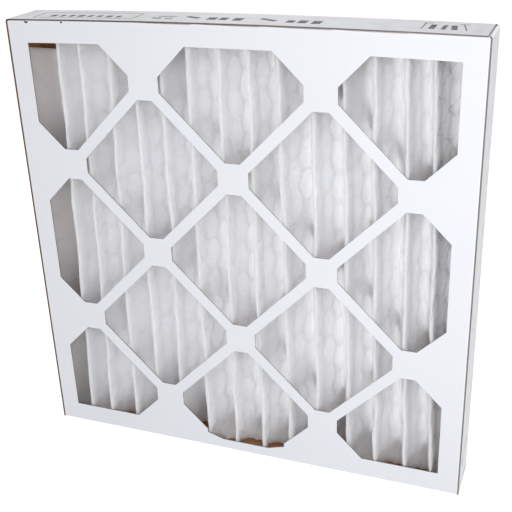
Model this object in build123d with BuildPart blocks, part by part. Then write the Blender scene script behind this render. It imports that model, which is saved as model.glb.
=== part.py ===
from build123d import *

# Pleated panel air filter: two die-cut board trays, one slid into the other, that hold a pleated
# blanket of nonwoven media between their lattice faces. A corrugated sheet of expanded metal is
# bonded to the downstream side of the pleats and keeps their shape.
#
# Frame: origin at the centre of the bottom edge, +X to the right, +Y from the front face to the
# rear face, +Z up. All sizes are in millimetres.

import os
from math import asin, atan2, cos, hypot, sin

# Overall size: a nominal 16 x 16 x 2 inch panel
panel_width = 393.7
panel_height = 393.7
panel_depth = 44.45

# Board
board = 0.9                  # thickness of the die-cut board
fit_gap = 0.15               # glue line between nested boards
fold_radius = 1.2            # outside of a folded edge
nested_corner_radius = 1.5   # inner tray, at its upper corners
outer_corner_radius = 2.2    # outer tray, at its upper corners
crown = 2.2                  # rise of the arched upper wall at mid width
cut_margin = 1.0             # cutters run this far past what they cut

# Lattice
cell_pitch = 74.4            # step of the diagonal grid of openings, along X and along Z
cell_reach = 67.5            # from the centre of an opening to the corner of its diamond
tip_reach = 61.0             # from the centre of an opening to its cut-off tip
flange = 18.85               # board left round the lattice
low_cut_width = 75.6         # the lowest middle opening of the front dips into the flange
low_cut_flat = 44.0
low_cut_shoulder = 4.0
low_cut_depth = 8.8

# Corners of the trays
slit = 0.25                  # between a wall and its neighbour
left_bend_end = 3.4          # outer tray: where the left wall's bent end stops along the top
right_bend_end = 1.6
right_end_gap = 1.5          # the upper wall stops this far short of the right wall's bent end
tab_length = 26.0            # inner tray: glue tabs at the ends of the side walls
tab_bend_radius = 1.8
tab_setback = 3.0            # from the front and the rear of the side walls
corner_relief = 2.0          # a corner's slit stops this far from the folded face
nicks = [(19.7, 1.9), (53.2, 1.1)]  # dents in the front face's upper fold: from the left, radius

# Pleated media
pleat_pitch = 24.7
flap_room = 18.0             # least width left for the flap at each end of the row of pleats
pack_offset = 4.2            # the row of pleats sits right of the centre
media_thickness = 1.6
tip_inner_radius = 1.2
tip_clearance = 0.2          # pleat tips to the lattice boards
end_clearance = 0.4          # pleat ends to the boards above and below them
flap_setback = 6.0           # the end flaps stop this far behind the front board
flap_clearance = 0.3         # the end flaps to the side walls

# Expanded metal
metal_thickness = 0.4
metal_gap = 0.05             # bond line between the media and the metal
mesh_pitch = 45.0            # along the pleats: coarser than the real mesh, one column to a flank
mesh_strand = 1.6
mesh_edge = 18.0             # plain edge above and below the mesh
mesh_margin_front = 6.0      # plain strip beside the folds, from their sharp corners
mesh_margin_rear = 14.0

# Worked out from the sizes above
layer = board + fit_gap
half_width = panel_width / 2
mid_height = panel_height / 2
front_plane = -panel_depth / 2
rear_plane = panel_depth / 2
nested_half_width = half_width - layer
nested_height = panel_height - layer
nested_rear = rear_plane - layer
upper_tab_level = nested_height - layer
lower_tab_level = 2 * layer
media_bottom = lower_tab_level + board + end_clearance
media_top = upper_tab_level - board - end_clearance
tip_mid_radius = tip_inner_radius + media_thickness / 2
flap_end = nested_half_width - board - flap_clearance - media_thickness
pleat_count = int(2 * (flap_end - flap_room) // pleat_pitch)


def arched_outline(half, bottom, top, bend=0):
    """Rectangle whose upper edge is arched by the crown, with upper corners of the radius bend."""
    with BuildSketch() as outline:
        with BuildLine():
            Polyline((-half, top), (-half, bottom), (half, bottom), (half, top))
            ThreePointArc((half, top), (0, top + crown), (-half, top))
        make_face()
        if bend:
            fillet(outline.vertices().group_by(Axis.Y)[-1], bend)
    return outline.sketch


def tray_blank(half, bottom, top, near, far, bend=0):
    """Solid block with the arched outline, from the depth near to the depth far."""
    with BuildPart() as blank:
        with BuildSketch(Plane.XZ.offset(-near)):
            add(arched_outline(half, bottom, top, bend))
        extrude(amount=near - far)
    return blank.part


def lattice_openings():
    """The die-cut openings: diamonds with cut-off tips, inside the flange."""
    with BuildSketch() as cell:
        Rectangle(cell_reach * 2**0.5, cell_reach * 2**0.5, rotation=45)
        Rectangle(2 * tip_reach, 2 * tip_reach, mode=Mode.INTERSECT)
    columns = int((half_width - flange) // cell_pitch)
    rows = int((mid_height - flange) // cell_pitch)
    centres = [
        (i * cell_pitch, mid_height + j * cell_pitch)
        for i in range(-columns, columns + 1)
        for j in range(-rows, rows + 1)
        if (i + j) % 2 == 0
    ]
    with BuildSketch() as openings:
        with Locations(*centres):
            add(cell.sketch)
        window = arched_outline(half_width - flange, flange, panel_height - flange)
        add(window, mode=Mode.INTERSECT)
    return openings.sketch


def tab_profile(level, inward):
    """Section of a glue tab: the end of the right wall, bent over to lie along level."""
    bend_centre = (nested_half_width - tab_bend_radius, level - tab_bend_radius * inward)
    tab_end = nested_half_width - tab_length
    with BuildSketch() as profile:
        with BuildLine():
            outer_bend = CenterArc(bend_centre, tab_bend_radius, 0, 90 * inward)
            inner_bend = CenterArc(bend_centre, tab_bend_radius - board, 0, 90 * inward)
            outer_face = Line(outer_bend @ 1, (tab_end, level))
            inner_face = Line(inner_bend @ 1, (tab_end, level - board * inward))
            Line(outer_bend @ 0, inner_bend @ 0)
            Line(outer_face @ 1, inner_face @ 1)
        make_face()
    return profile.sketch


def parallel(points, shift):
    """Corner points of the open line that runs beside points, shift to its left."""
    steps = [(b[0] - a[0], b[1] - a[1]) for a, b in zip(points, points[1:])]
    normals = [(-dy / hypot(dx, dy), dx / hypot(dx, dy)) for dx, dy in steps]
    before = [normals[0]] + normals
    after = normals + [normals[-1]]
    moved = []
    for (x, y), a, b in zip(points, before, after):
        reach = shift / (1 + a[0] * b[0] + a[1] * b[1])
        moved.append((x + reach * (a[0] + b[0]), y + reach * (a[1] + b[1])))
    return moved


def flap_corner(flap, centre, corner, flank_end):
    """Sharp corner where an end flap, laid against the tip circle at centre, meets its flank."""
    away = (centre[0] - flap[0], centre[1] - flap[1])
    turn = asin(tip_mid_radius / hypot(*away))
    angle = atan2(away[1], away[0]) + (turn if away[0] > 0 else -turn)
    flank = (flank_end[0] - corner[0], flank_end[1] - corner[1])
    gap = (corner[0] - flap[0], corner[1] - flap[1])
    reach = (gap[0] * flank[1] - gap[1] * flank[0]) / (cos(angle) * flank[1] - sin(angle) * flank[0])
    return (flap[0] + reach * cos(angle), flap[1] + reach * sin(angle))


def pleat_line():
    """Sharp corners of the media's middle line, from the left end flap to the right one."""
    front_centre = front_plane + board + tip_clearance + tip_inner_radius + media_thickness
    rear_stack = tip_inner_radius + media_thickness + metal_gap + metal_thickness
    rear_centre = rear_plane - board - tip_clearance - rear_stack
    run = pleat_pitch / 2
    span = hypot(run, rear_centre - front_centre)
    lean = atan2(run, rear_centre - front_centre) - asin(2 * tip_mid_radius / span)
    overshoot = tip_mid_radius / sin(lean)
    pleats = []
    for k in range(-pleat_count, pleat_count + 1):
        at_rear = (k + pleat_count) % 2 == 0
        depth = rear_centre + overshoot if at_rear else front_centre - overshoot
        pleats.append((pack_offset + k * run, depth))
    flap_y = front_plane + board + flap_setback
    left_flap, right_flap = (-flap_end, flap_y), (flap_end, flap_y)
    first = flap_corner(left_flap, (pleats[0][0], rear_centre), pleats[0], pleats[1])
    last = flap_corner(right_flap, (pleats[-1][0], rear_centre), pleats[-1], pleats[-2])
    return [left_flap, first, *pleats[1:-1], last, right_flap]


def pleated_sheet(near, far):
    """The sheet between two parallels of the media's middle line, over the whole height."""
    edges = []
    with BuildPart() as sheet:
        with BuildSketch(Plane.XY.offset(media_bottom)):
            with BuildLine():
                for shift in (near, far):
                    radii = [tip_mid_radius + shift * (-1) ** k for k in range(2 * pleat_count + 1)]
                    edges.append(FilletPolyline(*parallel(pleat_line(), shift), radius=radii))
                Line(edges[0] @ 0, edges[1] @ 0)
                Line(edges[0] @ 1, edges[1] @ 1)
            make_face()
        extrude(amount=media_top - media_bottom)
    return sheet.part


# Inner tray: the front lattice, and four walls folded back from it. Its lowest wall lies outside
# the outer tray's, and the ends of its side walls are bent over as glue tabs.
with BuildPart() as front_frame:
    add(tray_blank(nested_half_width, 0, nested_height, front_plane, nested_rear, nested_corner_radius))
    fillet(front_frame.faces().sort_by(Axis.Y)[0].edges(), fold_radius)
    inner_half = nested_half_width - board
    inner_top = nested_height - board
    add(tray_blank(inner_half, board, inner_top, front_plane + board, rear_plane), mode=Mode.SUBTRACT)
    with BuildSketch(Plane.XY):
        with Locations((0, nested_rear)):
            Rectangle(2 * nested_half_width, 2 * layer)
    extrude(amount=board)
    with BuildSketch(Plane.XZ.offset(-front_plane - board)):
        add(lattice_openings())
        with BuildLine():
            Polyline(
                (-low_cut_width / 2, flange),
                (-low_cut_width / 2, flange - low_cut_shoulder),
                (-low_cut_flat / 2, flange - low_cut_depth),
                (low_cut_flat / 2, flange - low_cut_depth),
                (low_cut_width / 2, flange - low_cut_shoulder),
                (low_cut_width / 2, flange),
                close=True,
            )
        make_face()
        for from_left, radius in nicks:
            with Locations((from_left - half_width, nested_height)):
                Circle(radius)
    extrude(amount=board + cut_margin, mode=Mode.SUBTRACT)

    tab_front = front_plane + corner_relief + tab_setback
    with BuildSketch(Plane.XZ.offset(-front_plane - corner_relief)):
        for side in (-1, 1):
            for wall_face, level, inward in ((inner_top, upper_tab_level, 1), (board, lower_tab_level, -1)):
                wall_end = level - tab_bend_radius * inward
                with Locations((side * nested_half_width, (wall_face + wall_end) / 2)):
                    Rectangle(2 * board, abs(wall_face - wall_end))
    extrude(amount=-panel_depth, mode=Mode.SUBTRACT)
    with BuildSketch(Plane.XZ.offset(-tab_front)):
        add(tab_profile(upper_tab_level, 1))
        add(tab_profile(lower_tab_level, -1))
        mirror(about=Plane.YZ)
    extrude(amount=tab_front - nested_rear + tab_setback)

# Outer tray: the rear lattice, and walls folded forward over the inner tray. Its lowest wall is
# tucked inside the inner tray's.
with BuildPart() as rear_frame:
    add(tray_blank(half_width, 0, panel_height, front_plane, rear_plane, outer_corner_radius))
    fillet(rear_frame.faces().sort_by(Axis.Y)[-1].edges(), fold_radius)
    outer_half = half_width - board
    outer_top = panel_height - board
    open_front = front_plane - cut_margin
    cavity = tray_blank(outer_half, -fold_radius, outer_top, open_front, rear_plane - board)
    add(cavity, mode=Mode.SUBTRACT)
    with BuildSketch(Plane.XZ.offset(-rear_plane + board + cut_margin)):
        add(lattice_openings())
        with Locations((0, layer / 2)):
            Rectangle(2 * outer_half, layer)
    extrude(amount=-board - 2 * cut_margin, mode=Mode.SUBTRACT)
    tucked_half = inner_half - fit_gap
    with BuildSketch(Plane.YZ.offset(-tucked_half)):
        with BuildLine():
            FilletPolyline(
                (front_plane + layer, layer),
                (rear_plane, layer),
                (rear_plane, layer + 2 * board),
                radius=fold_radius,
            )
            Polyline(
                (rear_plane, layer + 2 * board),
                (rear_plane - board, layer + 2 * board),
                (rear_plane - board, layer + board),
                (front_plane + layer, layer + board),
                (front_plane + layer, layer),
            )
        make_face()
    extrude(amount=2 * tucked_half)
    with BuildSketch(Plane.XY.offset(panel_height - 2 * outer_corner_radius)):
        with Locations((-half_width + left_bend_end + slit / 2, -corner_relief)):
            Rectangle(slit, panel_depth)
        with Locations((half_width - right_bend_end - right_end_gap / 2, -corner_relief)):
            Rectangle(right_end_gap, panel_depth)
    extrude(amount=2 * outer_corner_radius + crown, mode=Mode.SUBTRACT)

# Media: one blanket, folded into pleats, with a flap at each end that is glued to the side wall
with BuildPart() as pleated_media:
    add(pleated_sheet(-media_thickness / 2, media_thickness / 2))

# Support: expanded metal, laminated to the downstream side of the media
with BuildPart() as support_grid:
    metal_near = media_thickness / 2 + metal_gap
    metal_far = metal_near + metal_thickness
    add(pleated_sheet(metal_near, metal_far))
    folds = parallel(pleat_line(), (metal_near + metal_far) / 2)
    rows = int((media_top - media_bottom - 2 * mesh_edge) // mesh_pitch)
    for number, (start, end) in enumerate(zip(folds, folds[1:])):
        length = hypot(end[0] - start[0], end[1] - start[1])
        middle = ((start[0] + end[0]) / 2, (start[1] + end[1]) / 2, (media_bottom + media_top) / 2)
        along = (end[0] - start[0], end[1] - start[1], 0)
        across = (start[1] - end[1], end[0] - start[0], 0)
        to_rear = number % 2 == 0
        shift = (mesh_margin_front - mesh_margin_rear) / 2 * (1 if to_rear else -1)
        half_cell = (length - mesh_margin_front - mesh_margin_rear) / 2
        half_rise = (mesh_pitch - mesh_strand) / 2
        with BuildSketch(Plane(origin=middle, x_dir=along, z_dir=across)):
            with Locations((shift, 0)):
                with GridLocations(1, mesh_pitch, 1, rows if to_rear else rows - 1):
                    Polygon((half_cell, 0), (0, half_rise), (-half_cell, 0), (0, -half_rise))
    extrude(amount=metal_thickness, both=True, mode=Mode.SUBTRACT)

pieces = {
    "front_frame": front_frame.part,
    "rear_frame": rear_frame.part,
    "pleated_media": pleated_media.part,
    "support_grid": support_grid.part,
}
os.makedirs("parts", exist_ok=True)
for name, piece in pieces.items():
    piece.label = name
    export_step(piece, f"parts/{name}.step")
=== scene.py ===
"""Pleated panel air filter: two die-cut board trays round a pleated blanket of nonwoven media.

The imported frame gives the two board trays. This script dresses them, replaces the plain media and
its plain metal with detailed ones, adds the printing, and sets the floor, the light and the camera.
All sizes in the classes are in millimetres unless a name says otherwise; meshes are in metres.
"""

import logging
import math
from collections.abc import Callable
from dataclasses import dataclass, field
from enum import Enum
from functools import lru_cache

import bmesh
import bpy
from mathutils import Matrix, Vector, noise


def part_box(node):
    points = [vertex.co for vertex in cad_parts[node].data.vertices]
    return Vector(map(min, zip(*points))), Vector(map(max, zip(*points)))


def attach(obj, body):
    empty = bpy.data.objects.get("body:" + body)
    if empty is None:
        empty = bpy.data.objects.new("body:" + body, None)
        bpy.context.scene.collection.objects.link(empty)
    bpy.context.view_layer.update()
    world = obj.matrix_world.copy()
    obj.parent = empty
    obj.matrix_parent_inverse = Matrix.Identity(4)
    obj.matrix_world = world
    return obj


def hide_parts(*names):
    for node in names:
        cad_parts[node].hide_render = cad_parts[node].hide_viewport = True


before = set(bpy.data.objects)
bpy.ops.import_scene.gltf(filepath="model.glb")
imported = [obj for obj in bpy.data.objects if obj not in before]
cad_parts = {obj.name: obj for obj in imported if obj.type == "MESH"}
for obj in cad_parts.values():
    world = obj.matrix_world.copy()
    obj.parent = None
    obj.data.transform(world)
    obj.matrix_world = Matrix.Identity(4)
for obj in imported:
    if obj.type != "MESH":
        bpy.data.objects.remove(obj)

MM = 0.001
WHITE = (1.0, 1.0, 1.0, 1.0)
BOND_PITCH = 27.0  # from one of the expanded metal's bonds to the next, up the panel
SPAN_LENGTH = 41.0  # about what one straight run of the folded sheet measures
MEDIA_THICKNESS = 1.6
Socket = bpy.types.NodeSocket
Pair = tuple[float, float]
Triple = tuple[float, float, float]
Stroke = tuple[float, float, float, float, float]  # from x, y to x, y, and the width
log = logging.getLogger("filter")


class Slot(Enum):
    """The record's material slots."""

    BOARD = "coated_board"
    MEDIA = "nonwoven_media"
    METAL = "galvanised_mesh"


def colour(code: str) -> tuple[float, float, float, float]:
    """Turn an sRGB hex colour into linear RGBA.

    Args:
        code: Six hex digits after a hash sign.

    Returns:
        The red, green, blue and alpha that a shader socket takes.
    """
    channels = [int(code[i : i + 2], 16) / 255 for i in (1, 3, 5)]
    linear = [c / 12.92 if c <= 0.04045 else ((c + 0.055) / 1.055) ** 2.4 for c in channels]
    return (*linear, 1.0)


def add_node(
    tree: bpy.types.NodeTree, kind: str, inputs: dict | None = None, **settings: object
) -> bpy.types.Node:
    """Add a node with its settings and links.

    Args:
        tree: The tree that gets the node.
        kind: The node's type, without its ShaderNode prefix.
        inputs: For each input's name or number, the socket that feeds it or its value.
        **settings: Properties of the node itself.

    Returns:
        The new node.
    """
    made = tree.nodes.new("ShaderNode" + kind)
    for name, value in settings.items():
        setattr(made, name, value)
    for key, value in (inputs or {}).items():
        if isinstance(value, Socket):
            tree.links.new(value, made.inputs[key])
        else:
            made.inputs[key].default_value = value
    return made


def blend(tree: bpy.types.NodeTree, share: Socket | float, first: object, second: object) -> Socket:
    """Mix two colours.

    Args:
        tree: The tree that gets the mix.
        share: How much of the second colour shows, from 0 to 1.
        first: A colour or the socket that gives it.
        second: A colour or the socket that gives it.

    Returns:
        The mixed colour.
    """
    return add_node(tree, "Mix", {0: share, 6: first, 7: second}, data_type="RGBA").outputs[2]


def ramp(tree: bpy.types.NodeTree, value: Socket, span: Pair, result: Pair = (0.0, 1.0)) -> Socket:
    """Map a span of a value onto a result, which holds at both ends.

    Args:
        tree: The tree that gets the node.
        value: The value to map.
        span: Where the result starts and where it ends, on the value.
        result: What the two ends give.

    Returns:
        The mapped value.
    """
    ends = {1: span[0], 2: span[1], 3: result[0], 4: result[1]}
    return add_node(tree, "MapRange", {0: value, **ends}).outputs[0]


def calculate(tree: bpy.types.NodeTree, operation: str, *values: Socket | float) -> Socket:
    """Add a Math node and give its result."""
    return add_node(tree, "Math", dict(enumerate(values)), operation=operation).outputs[0]


def calculate_vector(tree: bpy.types.NodeTree, operation: str, *values: object) -> Socket:
    """Add a VectorMath node and give its result."""
    made = add_node(tree, "VectorMath", dict(enumerate(values)), operation=operation)
    return made.outputs["Value" if operation == "DOT_PRODUCT" else "Vector"]


def speckle(tree: bpy.types.NodeTree, point: Socket, size: float, detail: float) -> bpy.types.Node:
    """Add a noise pattern.

    Args:
        tree: The tree that gets the node.
        point: The coordinates that it follows, in metres.
        size: How large its features are, in millimetres.
        detail: How many finer layers it has.

    Returns:
        The noise node.
    """
    return add_node(tree, "TexNoise", {"Vector": point, "Scale": 1 / (size * MM), "Detail": detail})


def new_material(name: str) -> tuple[bpy.types.Material, bpy.types.NodeTree, bpy.types.Node]:
    """Make a material with one Principled shader.

    Args:
        name: What the real material is called.

    Returns:
        The material, its node tree and its shader.
    """
    material = bpy.data.materials.new(name)
    material.use_nodes = True
    tree = material.node_tree
    return material, tree, tree.nodes["Principled BSDF"]


@dataclass(frozen=True)
class CoatedBoard:
    """Clay-coated folding board: white and nearly matt outside and raw kraft inside; its cut edges carry
    painted shade and its folds a painted highlight.
    """

    shaded_cut_left: str  # the raw edge of the board, at the left and at the right of the panel: raw board colour greyed and darkened with painted shade, darkest at the left
    shaded_cut_right: str
    coat: str = "#E9EBF1"
    coat_shade: str = "#E6E8EE"
    kraft: str = "#A8764C"
    kraft_dark: str = "#865A38"
    fold_highlight: str = "#FDFDFE"  # painted highlight: the coating is drawn near white along the folds, where their rounds catch the light
    wall_grey: str = "#CFCBC6"
    coat_roughness: float = 0.55
    wall_grey_size: float = 13.0  # size of the greyer patches, which lie on the walls only
    cloud_size: float = 60.0  # faint clouds in the coating
    fibre_size: float = 0.8  # kraft fibres, drawn a little coarse so that they show
    coated_from: Pair = (0.3, 0.4)  # how squarely a face looks away from the core
    inside_from: Pair = (-0.3, -0.4)
    wall_grey_level: Pair = (0.45, 0.75)
    wall_grey_share: Pair = (0.12, 0.6)
    wall_turn: Pair = (0.5, 0.3)  # a wall's normal has little of the panel's depth in it
    fold_turn: Pair = (0.985, 0.93)  # a fold's normal lies along no axis
    cut_shade_reach: Pair = (-0.19, 0.19)  # metres across the panel, over which the cut edge's painted shade changes from left to right
    bump_strength: float = 0.06
    bump_depth: float = 0.2

    def material(self, name: str, core_low: Vector, core_high: Vector) -> bpy.types.Material:
        """Build the board's material for one tray.

        A face is coated where it looks away from the tray's core box, raw kraft where it looks
        towards it, and a cut edge where it looks along the board.

        Args:
            name: The material's name.
            core_low: Lowest corner of the core box, in metres.
            core_high: Highest corner of the core box, in metres.

        Returns:
            The material.
        """
        material, tree, shader = new_material(name)
        place = add_node(tree, "TexCoord")
        point, normal = place.outputs["Object"], place.outputs["Normal"]
        raised = calculate_vector(tree, "MAXIMUM", point, core_low)
        nearest = calculate_vector(tree, "MINIMUM", raised, core_high)
        outward = calculate_vector(tree, "NORMALIZE", calculate_vector(tree, "SUBTRACT", point, nearest))
        facing = calculate_vector(tree, "DOT_PRODUCT", normal, outward)
        coated = ramp(tree, facing, self.coated_from)
        inside = ramp(tree, facing, self.inside_from)
        clouds = speckle(tree, point, self.cloud_size, 3.0).outputs[0]
        fibres = speckle(tree, point, self.fibre_size, 2.0).outputs[0]
        coat = blend(tree, clouds, colour(self.coat), colour(self.coat_shade))
        turned = calculate_vector(tree, "ABSOLUTE", normal)
        across, deep, upright = add_node(tree, "SeparateXYZ", {0: turned}).outputs
        # greyer patches on the walls only; the front and back faces keep the plain coat
        wall_noise = speckle(tree, point, self.wall_grey_size, 4.0).outputs[0]
        wall_patches = ramp(tree, wall_noise, self.wall_grey_level, self.wall_grey_share)
        greyed = calculate(tree, "MULTIPLY", wall_patches, ramp(tree, deep, self.wall_turn))
        coat = blend(tree, greyed, coat, colour(self.wall_grey))
        flattest = calculate(tree, "MAXIMUM", calculate(tree, "MAXIMUM", across, deep), upright)
        # painted highlight on the rounds of the folds
        coat = blend(tree, ramp(tree, flattest, self.fold_turn), coat, colour(self.fold_highlight))
        kraft = blend(tree, fibres, colour(self.kraft), colour(self.kraft_dark))
        along = add_node(tree, "SeparateXYZ", {0: point}).outputs[0]
        # cut edges: raw board colour with painted shade, darker towards the left
        cut = blend(tree, ramp(tree, along, self.cut_shade_reach), colour(self.shaded_cut_left), colour(self.shaded_cut_right))
        skin = blend(tree, inside, blend(tree, coated, cut, coat), kraft)
        relief = {"Strength": self.bump_strength, "Distance": self.bump_depth * MM, "Height": fibres}
        bump = add_node(tree, "Bump", relief)
        tree.links.new(skin, shader.inputs["Base Color"])
        tree.links.new(bump.outputs[0], shader.inputs["Normal"])
        shader.inputs["Roughness"].default_value = self.coat_roughness
        return material


@dataclass(frozen=True)
class NonwovenMedia:
    """Thermally bonded polyester and cotton fibre: white, matt and softly mottled."""

    fibre: str = "#FDFDFE"
    thin: str = "#EEEFF1"
    strand_shadow_and_bond: str = "#A6A6AB"
    roughness: float = 0.95
    translucency: float = 0.58
    mottle_size: float = 14.0  # clumps in the web
    felt_size: float = 3.5  # tufts in the felt
    fibre_size: float = 1.2  # drawn coarser than the real fibres so that they show
    cell_long: float = BOND_PITCH  # the metal behind is drawn as darker lines: partly its bonds, partly painted shadow of its strands through the sheet
    cell_wide: float = 27.4
    line_width: float = 0.13
    strand_shadow_stray: float = 14.0
    strand_shadow_flank: Pair = (0.925, 0.94)  # along the sheet: the painted strand shadow is strong on the last flank, which lies in shade
    strand_shadow_share: Pair = (0.3, 1.7)
    streak: float = 0.55  # the clumps are drawn out up the panel
    clump_level: Pair = (0.35, 0.7)
    clump_share: Pair = (0.0, 0.6)
    tuft_level: Pair = (0.45, 0.75)
    tuft_share: Pair = (0.0, 0.8)
    tuft_bump: float = 0.5
    tuft_depth: float = 0.9
    fibre_bump: float = 0.3
    fibre_depth: float = 0.6

    def material(self, flat_length: float, flat_height: float) -> bpy.types.Material:
        """Build the media's material.

        Args:
            flat_length: Length of the unfolded sheet, in metres.
            flat_height: Height of the sheet, in metres.

        Returns:
            The material.
        """
        material, tree, shader = new_material("nonwoven_polyester")
        place = add_node(tree, "TexCoord")
        point = place.outputs["Object"]
        flat = calculate_vector(tree, "MULTIPLY", place.outputs["UV"], (flat_length, flat_height, 0))
        streaked = add_node(tree, "Mapping", {"Vector": point, "Scale": (1.0, 1.0, self.streak)}).outputs[0]
        clumps = speckle(tree, streaked, self.mottle_size, 4.0)
        fibres = speckle(tree, flat, self.fibre_size, 3.0).outputs[0]
        felt = speckle(tree, point, self.felt_size, 3.0).outputs[0]
        cloudy = ramp(tree, clumps.outputs[0], self.clump_level, self.clump_share)
        grained = ramp(tree, felt, self.tuft_level, self.tuft_share)
        mottle = calculate(tree, "MAXIMUM", cloudy, grained)
        web = blend(tree, mottle, colour(self.fibre), colour(self.thin))
        stray = Vector.Fill(3, self.strand_shadow_stray * MM)
        drawn = calculate_vector(tree, "MULTIPLY_ADD", clumps.outputs["Color"], stray, flat)
        split = add_node(tree, "SeparateXYZ", {0: drawn})
        waves = []
        for axis, period in ((0, self.cell_wide), (1, self.cell_long)):
            turn = calculate(tree, "MULTIPLY", split.outputs[axis], 2 * math.pi / (period * MM))
            waves.append(calculate(tree, "COSINE", turn))
        size = calculate(tree, "ABSOLUTE", calculate(tree, "ADD", *waves))
        line = ramp(tree, size, (self.line_width, 0.0))
        along = add_node(tree, "SeparateXYZ", {0: place.outputs["UV"]}).outputs[0]
        last = ramp(tree, along, self.strand_shadow_flank, self.strand_shadow_share)
        patchy = calculate(tree, "MULTIPLY", last, clumps.outputs[0])
        shown = calculate(tree, "MULTIPLY", line, patchy)
        # darker lines where the metal lies behind: painted shadow of the strands, and partly the bonds
        tree.links.new(blend(tree, shown, web, colour(self.strand_shadow_and_bond)), shader.inputs["Base Color"])
        relief = {"Strength": self.tuft_bump, "Distance": self.tuft_depth * MM, "Height": felt}
        tufts = add_node(tree, "Bump", relief).outputs[0]
        relief = {"Strength": self.fibre_bump, "Distance": self.fibre_depth * MM, "Height": fibres}
        bump = add_node(tree, "Bump", {**relief, "Normal": tufts})
        tree.links.new(bump.outputs[0], shader.inputs["Normal"])
        shader.inputs["Roughness"].default_value = self.roughness
        lit = {"Color": colour(self.fibre), "Normal": bump.outputs[0]}
        through = add_node(tree, "BsdfTranslucent", lit).outputs[0]
        mix = add_node(tree, "MixShader", {0: self.translucency, 1: shader.outputs[0], 2: through})
        tree.links.new(mix.outputs[0], tree.nodes["Material Output"].inputs["Surface"])
        return material


@dataclass(frozen=True)
class GalvanisedSteel:
    """Galvanised expanded steel: dull silver-grey with a faint spangle."""

    zinc: str = "#B9BCC0"
    dull: str = "#9A9DA2"
    roughness: float = 0.42
    spangle: float = 6.0

    def material(self) -> bpy.types.Material:
        """Build the metal's material."""
        material, tree, shader = new_material("galvanised_steel")
        point = add_node(tree, "TexCoord").outputs["Object"]
        spangle = add_node(tree, "TexVoronoi", {"Vector": point, "Scale": 1 / (self.spangle * MM)})
        tone = add_node(tree, "SeparateColor", {0: spangle.outputs["Color"]}).outputs[0]
        tree.links.new(blend(tree, tone, colour(self.zinc), colour(self.dull)), shader.inputs["Base Color"])
        shader.inputs["Metallic"].default_value = 1.0
        shader.inputs["Roughness"].default_value = self.roughness
        return material


def put(name: str, data: bpy.types.ID) -> bpy.types.Object:
    """Add an object to the scene."""
    made = bpy.data.objects.new(name, data)
    bpy.context.scene.collection.objects.link(made)
    return made


def mesh_object(mesh: bmesh.types.BMesh, name: str, material: bpy.types.Material) -> bpy.types.Object:
    """Turn a finished mesh into an object with a material, and free the mesh."""
    data = bpy.data.meshes.new(name)
    mesh.to_mesh(data)
    mesh.free()
    data.materials.append(material)
    return put(name, data)


def thicken(piece: bpy.types.Object, name: str, thickness: float, offset: float) -> None:
    """Give a sheet its thickness.

    Args:
        piece: The sheet.
        name: The modifier's name.
        thickness: How thick, in millimetres.
        offset: 0 for both sides alike, -1 for the back only.
    """
    shell = piece.modifiers.new(name, "SOLIDIFY")
    shell.thickness = thickness * MM
    shell.offset = offset


def as_piece(
    mesh: bmesh.types.BMesh, name: str, material: bpy.types.Material
) -> bpy.types.Object:
    """Turn a finished mesh into a piece that rides on the filter.

    Args:
        mesh: The piece's mesh, in place and in metres. It is freed.
        name: The piece's name.
        material: Its finish.

    Returns:
        The new object.
    """
    piece = mesh_object(mesh, name, material)
    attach(piece, "root")
    return piece


@dataclass
class BoardTrays:
    """The two folded board trays, which keep their solid form from the frame."""

    core_inset: float = 2.4  # deeper than the two boards that lie on each other at the walls
    crown: float = 2.2  # the upper walls are arched by this much
    open_reach: float = 100.0  # the core box runs on past a tray's open side
    # each tray's cut edges are raw board colour with painted shade, darker at the left
    front_finish: CoatedBoard = CoatedBoard(shaded_cut_left="#7C6E65", shaded_cut_right="#8C8784")
    rear_finish: CoatedBoard = CoatedBoard(shaded_cut_left="#2E211A", shaded_cut_right="#74747A")

    def dress(self) -> list[bpy.types.Object]:
        """Give each tray its board finish.

        Returns:
            The two trays.
        """
        trays = []
        for name, open_side, finish in (
            ("front_frame", 1, self.front_finish),
            ("rear_frame", -1, self.rear_finish),
        ):
            low, high = (Vector(corner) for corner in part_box(name))
            core_low = low + Vector.Fill(3, self.core_inset * MM)
            core_high = high - Vector.Fill(3, self.core_inset * MM)
            core_high.z -= self.crown * MM
            if open_side > 0:
                core_high.y += self.open_reach * MM
            else:
                core_low.y -= self.open_reach * MM
            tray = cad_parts[name]
            tray.data.materials.clear()
            tray.data.materials.append(finish.material(f"coated_board_{name}", core_low, core_high))
            trays.append(tray)
        return trays


@dataclass(frozen=True)
class Stray:
    """One use of the noise field, kept apart from the others by its stride and its plane."""

    stride: float  # from one fold to the next
    plane: float

    def at(self, number: int, along: float) -> float:
        """Give the noise for a fold, at a place along it."""
        return noise.noise(Vector((number * self.stride, along, self.plane)))


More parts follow.
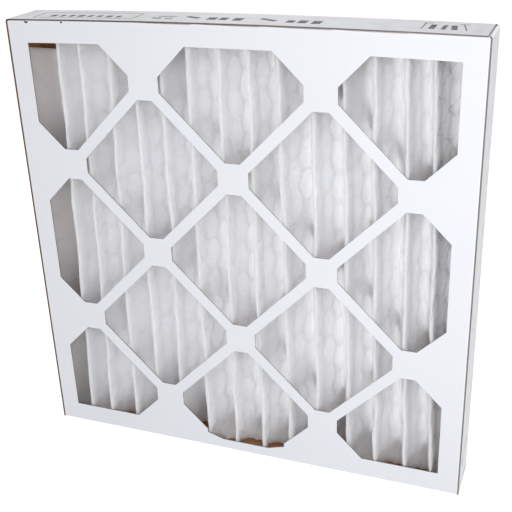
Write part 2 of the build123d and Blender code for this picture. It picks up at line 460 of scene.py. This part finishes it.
@dataclass(frozen=True, eq=False)
class PleatLine:
    """The line that the media follows from one side wall to the other, which changes up the panel."""

    count: int = 14
    width: float = 393.7
    middle_top: float = 201.0  # centre of the row of pleats, from the left
    middle_bottom: float = 200.7
    pitch_top: float = 23.7  # the pleats fan out towards the bottom
    pitch_bottom: float = 25.7
    drift: tuple[float, ...] = (0, -4.2, -2.2, -2.9, -3.1, -3.3, -0.3, 0.3, 1, 2.9, 4.7, 3.2, 3.8, 0)
    front_tip: float = -20.3  # middle of the sheet at the front folds
    front_limit: float = -20.45  # where it meets the front tray
    rear_tip: float = 18.6
    tangent: float = 7.0  # from a fold's sharp corner to where its round begins
    tip_setback: float = 5.1  # from a rear fold's sharp corner to its round's tip
    wall_x: float = 193.7  # where the end flaps meet the side walls
    flap_y: float = -14.0
    bottom: float = 3.4
    top: float = 390.3
    flap_drop: float = 31.0  # the left flap is cut low at its upper end
    flap_drop_right: float = 7.0
    flap_rise: float = 10.0  # the cuts rise to the walls
    flap_lead: float = 0.35  # the cut begins this share of a span before the flap
    bond_pitch: float = BOND_PITCH  # the metal's bonds kink the folds at this step
    bond_phase: float = 0.37  # the bonds climb by this share of it from one fold to the next
    bond_jump: float = 5.7  # in the noise field, from one bond to the next
    bond_stray: Stray = Stray(3.1, 4.5)
    wander: float = 0.9
    wander_length: float = 70.0
    wander_stray: Stray = Stray(7.3, 1.5)
    kink: float = 1.0
    lean: float = 0.7  # how much of a round's reach counts in the fold's half angle
    pinch: float = 31.0  # the deep folds' lower ends are crushed forwards by up to this much
    pinch_height: float = 21.0
    pinch_falloff: float = 1.7
    pinch_share: float = 0.88
    pinch_vary: float = 0.9
    pinch_most: float = 1.1
    pinch_stray: Stray = Stray(1.7, 0.5)
    pinch_row: float = 2.5
    round_share: float = 0.6
    round_sway: float = 0.9  # a front fold swells between two bonds by this share
    round_vary: float = 1.2
    round_crush: float = 0.5
    round_least: float = 0.4
    round_most: float = 1.7
    round_stray: Stray = Stray(2.9, 6.5)
    sag: float = 2.5  # each flank hangs back towards the metal between its folds
    hollow: float = 4.5  # the flanks draw in by this much more at the crushed ends
    ripple: float = 0.9
    ripple_size: float = 22.0
    ripple_plane: float = 8.0
    crumple: float = 0.3
    crumple_detail: float = 2.6
    slope_step: float = 0.004  # spans either way, to find which way the line runs

    @property
    def spans(self) -> int:
        """Number of straight runs: two for each pleat and two flaps."""
        return 2 * self.count + 2

    @property
    def flat_length(self) -> float:
        """Length of the line at mid height."""
        middle = (self.bottom + self.top) / 2
        corners = [self.corner(k, middle) for k in range(self.spans + 1)]
        return sum((b - a).length for a, b in zip(corners, corners[1:]))

    def top_at(self, run: float) -> float:
        """Give the sheet's upper edge, which is cut low on the end flaps."""
        on_left = run < self.spans / 2
        start = 1 + self.flap_lead
        into_flap = max(0.0, start - run, run - self.spans + start)
        cut = (self.flap_drop if on_left else self.flap_drop_right) * min(1.0, into_flap / self.flap_lead)
        return min(self.top, self.top - cut + self.flap_rise * max(0.0, into_flap - self.flap_lead))

    def ridge(self, number: int, height: float) -> float:
        """Give a front fold's place across the panel.

        Args:
            number: 1 is the leftmost fold; 0 and count + 1 are outside the panel.
            height: Height above the bottom.

        Returns:
            Its x from the panel's centre.
        """
        rise = height / self.top
        pitch = self.pitch_bottom + (self.pitch_top - self.pitch_bottom) * rise
        middle = self.middle_bottom + (self.middle_top - self.middle_bottom) * rise
        drift = self.drift[min(max(number, 1), self.count) - 1]
        x = middle + (number - (self.count + 1) / 2) * pitch + drift - self.width / 2
        step = height / self.bond_pitch + self.bond_phase * number
        sway = self.wander_stray.at(number, height / self.wander_length)
        before = self.bond_stray.at(number, math.floor(step) * self.bond_jump)
        after = self.bond_stray.at(number, math.floor(step + 1) * self.bond_jump)
        bent = before + (after - before) * (step % 1)
        return x + self.wander * sway + 2 * self.kink * bent

    @lru_cache(maxsize=4096)
    def corner(self, number: int, height: float) -> Vector:
        """Give a sharp corner of the line.

        Args:
            number: 0 is the left flap's end, odd numbers are rear folds, even ones front folds.
            height: Height above the bottom.

        Returns:
            The corner in plan, in millimetres.
        """
        if number in (0, self.spans):
            return Vector((self.wall_x if number else -self.wall_x, self.flap_y))
        if number % 2 == 0:
            reach = self.tangent_at(number, height)
            left, right = self.corner(number - 1, height), self.corner(number + 1, height)
            depth = (left.y + right.y) / 2 - self.front_tip
            half_angle = math.atan2((right.x - left.x) / 2, depth + self.lean * reach)
            setback = reach * (1 / math.cos(half_angle) - math.tan(half_angle))
            return Vector((self.ridge(number // 2, height), self.front_tip - setback))
        left, right = self.ridge(number // 2, height), self.ridge(number // 2 + 1, height)
        share = self.pinch_share + self.pinch_vary * self.pinch_stray.at(number, self.pinch_row)
        forward = self.pinch * min(self.pinch_most, share) * self.crushed(height)
        return Vector(((left + right) / 2, self.rear_tip + self.tip_setback - forward))

    def crushed(self, height: float) -> float:
        """Give how far the lower end of a pleat is crushed, from 0 to 1 at the very end."""
        return max(0.0, 1 - (height - self.bottom) / self.pinch_height) ** self.pinch_falloff

    def tangent_at(self, number: int, height: float) -> float:
        """Give how far a fold's round reaches from its corner, which changes with the bonds."""
        if number % 2:
            return self.tangent
        step = height / self.bond_pitch
        swell = abs(math.sin(math.pi * (step + self.bond_phase * number)))
        stray = self.round_stray.at(number, step)
        open_share = self.round_share + self.round_sway * (swell + self.round_vary * stray)
        share = max(self.round_least, open_share - self.round_crush * self.crushed(height))
        return self.tangent * min(self.round_most, share)

    def point(self, run: float, height: float) -> Vector:
        """Give a point on the line, with its folds rounded.

        Args:
            run: How far along, counted in spans.
            height: Height above the bottom.

        Returns:
            The point in plan, in millimetres.
        """
        span = min(int(run), self.spans - 1)
        start, end = self.corner(span, height), self.corner(span + 1, height)
        share = run - span
        length = (end - start).length
        reach = self.tangent_at(span, height)
        if share * length < reach and span > 0:
            return self.round_point(span, height, share * length / reach)
        reach = self.tangent_at(span + 1, height)
        if (1 - share) * length < reach and span < self.spans - 1:
            return self.round_point(span + 1, height, (share - 1) * length / reach)
        return start.lerp(end, share)

    def round_point(self, number: int, height: float, turn: float) -> Vector:
        """Give a point on a fold's arc.

        Args:
            number: The fold's corner.
            height: Height above the bottom.
            turn: From -1, where the arc begins, to 1, where it ends.

        Returns:
            The point in plan, in millimetres.
        """
        corner = self.corner(number, height)
        before = (self.corner(number - 1, height) - corner).normalized()
        after = (self.corner(number + 1, height) - corner).normalized()
        inward, across = (before + after).normalized(), (after - before).normalized()
        half_angle = inward.angle(after)
        tangent = self.tangent_at(number, height)
        centre = corner + inward * (tangent / math.cos(half_angle))
        radius = tangent * math.tan(half_angle)
        angle = turn * (math.pi / 2 - half_angle)
        return centre + radius * (across * math.sin(angle) - inward * math.cos(angle))

    def lifted(self, run: float, height: float, lift: float) -> Vector:
        """Give a point beside the line.

        Args:
            run: How far along, counted in spans.
            height: Height above the bottom.
            lift: How far to the rear side of the sheet, in millimetres.

        Returns:
            The point in the panel's frame, in metres.
        """
        here = self.point(run, height)
        across, up = run * SPAN_LENGTH / self.ripple_size, height / self.ripple_size
        where = Vector((across, up, self.ripple_plane))
        off_fold = abs(math.sin(math.pi * run))
        waves = self.ripple * noise.noise(where) + self.crumple * noise.noise(self.crumple_detail * where)
        lift += (self.sag + self.hollow * self.crushed(height) + waves) * off_fold
        low, high = max(run - self.slope_step, 0.0), min(run + self.slope_step, float(self.spans))
        along = (self.point(high, height) - self.point(low, height)).normalized()
        depth = max(self.front_limit, here.y + along.x * lift)
        return Vector((here.x - along.y * lift, depth, height)) * MM


@dataclass
class PleatedBlanket:
    """The folded sheet of media between the trays."""

    line: PleatLine
    thickness: float = MEDIA_THICKNESS
    steps_per_span: int = 12
    rows: int = 100
    rounding: float = 1e-6  # keeps a vertex that lies on a fold in the span after it
    finish: NonwovenMedia = field(default_factory=NonwovenMedia)

    def fold(self, mesh: bmesh.types.BMesh) -> None:
        """Fold a flat unit sheet into the pleats.

        Args:
            mesh: A grid from -0.5 to 0.5 both ways.
        """
        for vertex in mesh.verts:
            flat = (vertex.co.x + 0.5) * self.line.spans
            span = min(int(flat + self.rounding), self.line.spans - 1)
            run = span + 0.5 - 0.5 * math.cos(math.pi * (flat - span))
            height = self.line.bottom + (vertex.co.y + 0.5) * (self.line.top_at(run) - self.line.bottom)
            vertex.co = self.line.lifted(run, height, 0.0)

    def build(self) -> bpy.types.Object:
        """Make the blanket.

        Returns:
            The finished piece.
        """
        mesh = bmesh.new()
        mesh.loops.layers.uv.new("flat")
        bmesh.ops.create_grid(
            mesh,
            x_segments=self.line.spans * self.steps_per_span,
            y_segments=self.rows,
            size=0.5,
            calc_uvs=True,
        )
        self.fold(mesh)
        for face in mesh.faces:
            face.smooth = True
        flat_length = self.line.flat_length * MM
        flat_height = (self.line.top - self.line.bottom) * MM
        material = self.finish.material(flat_length, flat_height)
        piece = as_piece(mesh, "media_blanket", material)
        thicken(piece, "thickness", self.thickness, 0.0)
        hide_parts("pleated_media")
        return piece


@dataclass
class ExpandedMetal:
    """The sheet of expanded metal that is bonded to the downstream side of the media."""

    line: PleatLine
    media_thickness: float = MEDIA_THICKNESS
    thickness: float = 0.35
    cell_long: float = BOND_PITCH
    cell_reach: float = 0.6  # a cell needs this share of its length above its centre
    strand: float = 1.1
    columns_per_span: int = 3  # half-width columns of openings
    cuts: int = 3
    cut_from: float = 2.5  # edges longer than this many strands are cut
    weld: float = 0.05
    end_margin: float = 0.02  # spans kept free at both ends of the sheet
    finish: GalvanisedSteel = field(default_factory=GalvanisedSteel)

    def flat_sheet(self) -> bmesh.types.BMesh:
        """Make the flat sheet of hexagonal openings, in spans across and millimetres up.

        Returns:
            The sheet's mesh, one quad to each side of an opening.
        """
        mesh = bmesh.new()
        columns = self.line.spans * self.columns_per_span
        rows = int((self.line.top - self.line.bottom) / self.cell_long)
        pitch = SPAN_LENGTH / self.columns_per_span
        hexagon = Matrix.Diagonal((pitch * 2 / 3, self.cell_long / math.sqrt(3), 1, 1))
        quarter = Matrix.Rotation(math.pi / 2, 4, "Z")
        for column in range(columns):
            for row in range(rows - column % 2):
                up = (row + 0.5 + 0.5 * (column % 2)) * self.cell_long
                centre = Vector(((column + 0.5) * pitch, up, 0))
                reach = self.line.bottom + centre.y + self.cell_reach * self.cell_long
                if reach > self.line.top_at(centre.x / SPAN_LENGTH):
                    continue
                place = Matrix.Translation(centre) @ hexagon @ quarter
                bmesh.ops.create_circle(mesh, cap_ends=True, segments=6, radius=1, matrix=place)
        bmesh.ops.remove_doubles(mesh, verts=mesh.verts, dist=self.weld)
        cells = list(mesh.faces)
        bmesh.ops.inset_individual(mesh, faces=cells, thickness=self.strand / 2, use_even_offset=True)
        bmesh.ops.delete(mesh, geom=cells, context="FACES_ONLY")
        long_edges = [edge for edge in mesh.edges if edge.calc_length() > self.cut_from * self.strand]
        bmesh.ops.subdivide_edges(mesh, edges=long_edges, cuts=self.cuts)
        return mesh

    def build(self) -> bpy.types.Object:
        """Make the metal.

        Returns:
            The finished piece.
        """
        mesh = self.flat_sheet()
        lift = self.media_thickness / 2 + self.thickness
        for vertex in mesh.verts:
            run = max(vertex.co.x / SPAN_LENGTH, self.end_margin)
            run = min(run, self.line.spans - self.end_margin)
            height = self.line.bottom + vertex.co.y
            vertex.co = self.line.lifted(run, height, lift)
        piece = as_piece(mesh, "expanded_metal", self.finish.material())
        thicken(piece, "thickness", self.thickness, 0.0)
        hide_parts("support_grid")
        return piece


@dataclass(frozen=True)
class FlexoInk:
    """Water-based flexographic ink on board: dark grey, matt and patchy, as the coating takes it."""

    ink: str = "#4C474B"
    starved: str = "#8A8589"
    roughness: float = 0.7
    patch: float = 3.0
    starved_level: Pair = (0.4, 0.7)

    def material(self) -> bpy.types.Material:
        """Build the ink's material."""
        material, tree, shader = new_material("flexographic_ink")
        point = add_node(tree, "TexCoord").outputs["Object"]
        share = ramp(tree, speckle(tree, point, self.patch, 3.0).outputs[0], self.starved_level)
        tone = blend(tree, share, colour(self.ink), colour(self.starved))
        tree.links.new(tone, shader.inputs["Base Color"])
        shader.inputs["Roughness"].default_value = self.roughness
        return material


@dataclass
class WallMarks:
    """Plain printed marks on the upper wall, the crushed crease on the right wall and a dark line along
    that wall's foot.
    """

    panel: tuple[float, float, float, float] = (-175.6, -13.5, -84.4, 9.0)  # low x, low y, high x, high y
    panel_line: float = 0.8
    panel_margin: float = 11.0
    bars: int = 8
    bar_reach: Pair = (-9.0, -1.5)  # low y, high y
    bar_share: float = 0.45  # of the space for one bar
    wide_share: float = 0.62
    wide_every: int = 3
    blocks: tuple[Stroke, ...] = (
        (-64.7, -9.5, -64.7, -6.0, 8.0),
        (-54.0, -9.8, -54.0, -7.2, 7.0),
        (-66.0, -0.4, -51.0, 0.8, 1.8),
        (-42.0, 1.6, -29.5, -4.0, 4.5),
        (-18.5, -8.5, -18.5, 0.5, 7.5),
        (-9.0, -8.5, -9.0, 1.5, 6.5),
        (3.0, -9.0, 3.0, 1.5, 7.5),
        (20.0, 1.8, 34.0, -4.8, 4.5),
        (46.0, -9.5, 46.0, -0.5, 6.5),
        (55.5, -9.5, 55.5, 1.0, 7.0),
        (66.5, -10.5, 66.5, 0.8, 7.0),
    )
    arrow: tuple[Stroke, ...] = (
        (145.2, -9.4, 145.2, 11.5, 0.9),
        (177.3, -9.4, 172.8, 11.5, 0.9),
        (143.0, 12.0, 150.0, 12.0, 1.2),
        (169.5, 12.6, 177.0, 12.6, 1.2),
        (152.0, -9.0, 152.0, 7.0, 4.2),
        (160.5, -9.0, 160.5, 7.0, 3.0),
        (168.5, -9.0, 166.5, 7.0, 4.2),
    )
    crease_and_foot_line: tuple[Stroke, ...] = (  # on the right wall: y and z
        (4.9, 42.5, -1.5, 40.5, 1.1),
        (-1.5, 40.5, -5.5, 34.0, 0.8),
        (-5.5, 34.0, -9.5, 30.5, 0.7),
        (-9.5, 30.5, -7.5, 20.0, 0.8),
        # a dark line along the foot of the right wall, towards its back
        (20.9, 1.9, 3.0, 1.9, 1.4),
    )
    film: float = 0.05
    step: float = 5.0
    ray_start: float = 1.0  # metres, clear of the filter
    finish: FlexoInk = field(default_factory=FlexoInk)

    def stroke(self, mesh: bmesh.types.BMesh, mark: Stroke) -> None:
        """Lay one straight mark flat on the plan.

        Args:
            mesh: The mesh that gets it.
            mark: Start, end and width, in millimetres.
        """
        start, end, width = Vector(mark[:2]), Vector(mark[2:4]), mark[4]
        along = end - start
        turn = Matrix.Rotation(math.atan2(along.y, along.x), 4, "Z")
        middle = (start + end) / 2
        scale = Matrix.Diagonal((along.length, width, 1, 1))
        place = Matrix.Translation((middle.x, middle.y, 0)) @ turn @ scale
        bmesh.ops.create_grid(
            mesh,
            x_segments=max(1, round(along.length / self.step)),
            y_segments=max(1, round(width / self.step)),
            size=0.5,
            matrix=place,
        )

    def panel_strokes(self) -> list[Stroke]:
        """List the outline of the panel and the bars in it."""
        left, near, right, far = self.panel
        outline = [(left, y, right, y) for y in (near, far)] + [(x, near, x, far) for x in (left, right)]
        strokes = [(*ends, self.panel_line) for ends in outline]
        pitch = (right - left - 2 * self.panel_margin) / self.bars
        low, high = self.bar_reach
        for number in range(self.bars):
            x = left + self.panel_margin + (number + 0.5) * pitch
            share = self.bar_share if number % self.wide_every else self.wide_share
            strokes.append((x, low, x, high, pitch * share))
        return strokes

    def lay(self, mesh: bmesh.types.BMesh, tray: bpy.types.Object, on_side: bool) -> None:
        """Drop the flat marks on the tray's wall.

        Args:
            mesh: The flat marks, in millimetres.
            tray: The tray that carries them.
            on_side: True for the right wall, False for the upper one.
        """
        for vertex in mesh.verts:
            first, second = vertex.co.x * MM, vertex.co.y * MM
            start = (self.ray_start, first, second) if on_side else (first, second, self.ray_start)
            inward = Vector((-1, 0, 0)) if on_side else Vector((0, 0, -1))
            _, place, _, _ = tray.ray_cast(Vector(start), inward)
            vertex.co = place - inward * self.film * MM

    def build(self) -> list[bpy.types.Object]:
        """Make the marks.

        Returns:
            The printing, and the crease with the dark line at the wall's foot.
        """
        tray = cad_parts["rear_frame"]
        ink = self.finish.material()
        made = []
        for name, strokes, on_side in (
            ("wall_printing", [*self.panel_strokes(), *self.blocks, *self.arrow], False),
            ("wall_crease_and_foot_line", self.crease_and_foot_line, True),
        ):
            mesh = bmesh.new()
            for mark in strokes:
                self.stroke(mesh, mark)
            self.lay(mesh, tray, on_side)
            piece = as_piece(mesh, name, ink)
            thicken(piece, "film", self.film, -1.0)
            made.append(piece)
        return made


@dataclass
class Studio:
    """A pale floor, soft lamps and a white surround."""

    floor_size: float = 8.0  # metres
    floor_colour: str = "#F2F2F2"
    floor_lift: float = 0.40  # added for the camera: at this much the whole floor clips to white
    world_strength: float = 0.74
    key_power: float = 1.3
    lamp_size: float = 0.4  # metres
    key_place: Triple = (0.30, -0.50, 0.42)
    key_aim: Triple = (0.05, 0.0, 0.22)
    back_power: float = 3.4
    back_place: Triple = (-0.30, 1.0, 0.30)
    back_aim: Triple = (0.0, 0.0, 0.2)
    bounces: int = 16  # light reaches the bottom of a white fold only after many of them

    def white_to_camera(self, tree: bpy.types.NodeTree) -> Socket:
        """Tell where a ray shows the surround: straight to the camera, mirrored or through glass."""
        path = add_node(tree, "LightPath")
        seen = calculate(tree, "MAXIMUM", path.outputs["Is Camera Ray"], path.outputs["Is Glossy Ray"])
        return calculate(tree, "MAXIMUM", seen, path.outputs["Is Transmission Ray"])

    def floor(self) -> bpy.types.Object:
        """Make the floor, which the camera sees as plain white, because the lift clips its soft shadow."""
        mesh = bmesh.new()
        bmesh.ops.create_grid(mesh, x_segments=1, y_segments=1, size=self.floor_size / 2)
        material, tree, shader = new_material("matt_floor")
        shader.inputs["Base Color"].default_value = colour(self.floor_colour)
        shader.inputs["Roughness"].default_value = 1.0
        shader.inputs["Specular IOR Level"].default_value = 0.0
        lift = calculate(tree, "MULTIPLY", self.white_to_camera(tree), self.floor_lift)
        glow = add_node(tree, "Emission", {"Color": WHITE, "Strength": lift})
        both = add_node(tree, "AddShader", {0: shader.outputs[0], 1: glow.outputs[0]})
        tree.links.new(both.outputs[0], tree.nodes["Material Output"].inputs["Surface"])
        floor = mesh_object(mesh, "floor", material)
        return floor

    def world(self) -> None:
        """Light the filter evenly from all round, in front of a white surround."""
        world = bpy.data.worlds.new("surround")
        bpy.context.scene.world = world
        world.use_nodes = True
        tree = world.node_tree
        tree.nodes.clear()
        soft = add_node(tree, "Background", {"Color": WHITE, "Strength": self.world_strength})
        white = add_node(tree, "Background", {"Color": WHITE, "Strength": 1.0})
        shown = self.white_to_camera(tree)
        mix = add_node(tree, "MixShader", {0: shown, 1: soft.outputs[0], 2: white.outputs[0]})
        add_node(tree, "OutputWorld", {"Surface": mix.outputs[0]})

    def lamp(self, name: str, place: Triple, aim: Triple, power: float) -> None:
        """Add a square soft lamp.

        Args:
            name: Its name.
            place: Where it stands, in metres.
            aim: The point that it faces.
            power: Its power, in watts.
        """
        light = bpy.data.lights.new(name, "AREA")
        light.shape = "SQUARE"
        light.size = self.lamp_size
        light.energy = power
        lamp = put(name, light)
        lamp.visible_camera = False
        lamp.location = place
        lamp.rotation_euler = (Vector(aim) - Vector(place)).to_track_quat("-Z", "Y").to_euler()

    def build(self) -> None:
        """Set the floor, the surround and the lamps."""
        bpy.context.scene.cycles.diffuse_bounces = self.bounces
        self.floor()
        self.world()
        self.lamp("key_lamp", self.key_place, self.key_aim, self.key_power)
        self.lamp("back_lamp", self.back_place, self.back_aim, self.back_power)


@dataclass
class Camera:
    """A camera turned to the right of the front face and above it."""

    place: Triple = (0.26522, -0.65576, 0.52001)  # metres
    right: Triple = (0.9365, 0.34893, -0.03483)
    down: Triple = (0.11706, -0.40472, -0.90692)
    forward: Triple = (-0.33054, 0.84525, -0.41986)
    lens: float = 63.076
    sensor: float = 36.0

    def build(self) -> None:
        """Add the camera and make it the scene's."""
        data = bpy.data.cameras.new("camera")
        data.lens = self.lens
        data.sensor_width = self.sensor
        camera = put("camera", data)
        turn = Matrix((self.right, [-v for v in self.down], [-v for v in self.forward])).transposed()
        camera.matrix_world = Matrix.Translation(self.place) @ turn.to_4x4()
        bpy.context.scene.camera = camera


def main() -> None:
    """Build the filter and its studio, and keep the two boxes."""
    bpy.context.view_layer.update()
    bpy.context.scene.view_settings.view_transform = "Standard"
    Camera().build()
    Studio().build()
    line = PleatLine()
    builders: list[Callable[[], object]] = [
        BoardTrays().dress,
        WallMarks().build,
        PleatedBlanket(line).build,
        ExpandedMetal(line).build,
    ]
    for builder in builders:
        made = builder()
        for piece in made if isinstance(made, list) else [made]:
            log.info("%s: %d faces", piece.name, len(piece.data.polygons))


if __name__ == "__main__":
    logging.basicConfig(level=logging.INFO, format="%(message)s")
    main()
